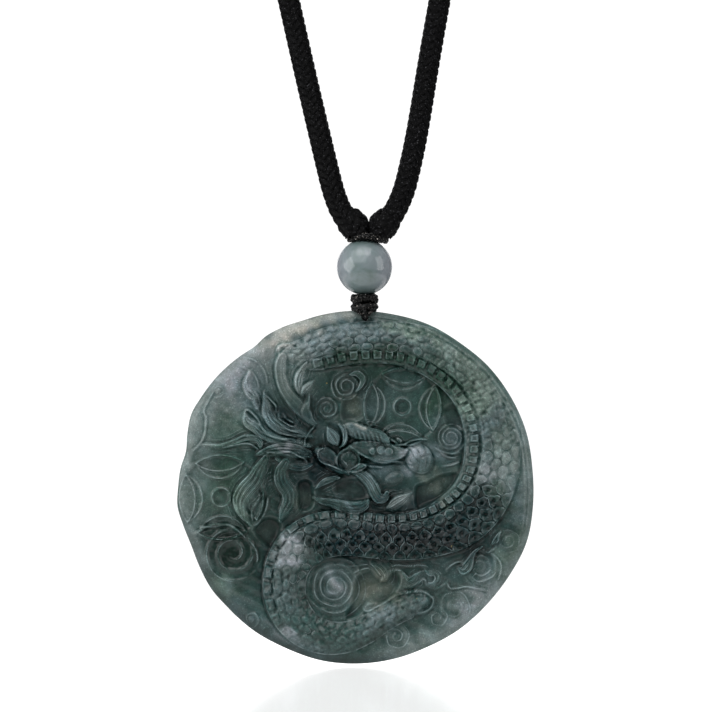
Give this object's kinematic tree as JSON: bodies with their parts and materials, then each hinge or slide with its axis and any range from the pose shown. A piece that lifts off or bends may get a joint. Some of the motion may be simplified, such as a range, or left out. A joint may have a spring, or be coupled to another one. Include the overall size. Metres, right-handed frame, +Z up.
{
  "type": "jade dragon pendant necklace",
  "caption": "Round carved jade plaque with a raised dragon, hung by thread from a jade bead on a braided neck cord loop.",
  "frame": {"origin": "where the neck cord rests on the nape, on the cord's inner face", "axes": "+X to the right of the carved front as it is seen, -Y the way the carved front faces, +Z up"},
  "size_m": [0.1146, 0.1231, 0.3424],
  "materials": {
    "carved_jade": "polished",
    "bead_jade": "polished",
    "thread": "waxed thread",
    "braid": "braided"
  },
  "bodies": {
    "root": {"jade_disc": "carved_jade", "pendant_loop": "thread", "lower_knot": "thread", "jade_bead": "bead_jade", "bead_thread": "thread", "cord_collar": "thread", "neck_cord": "braid"}
  },
  "joints": []
}
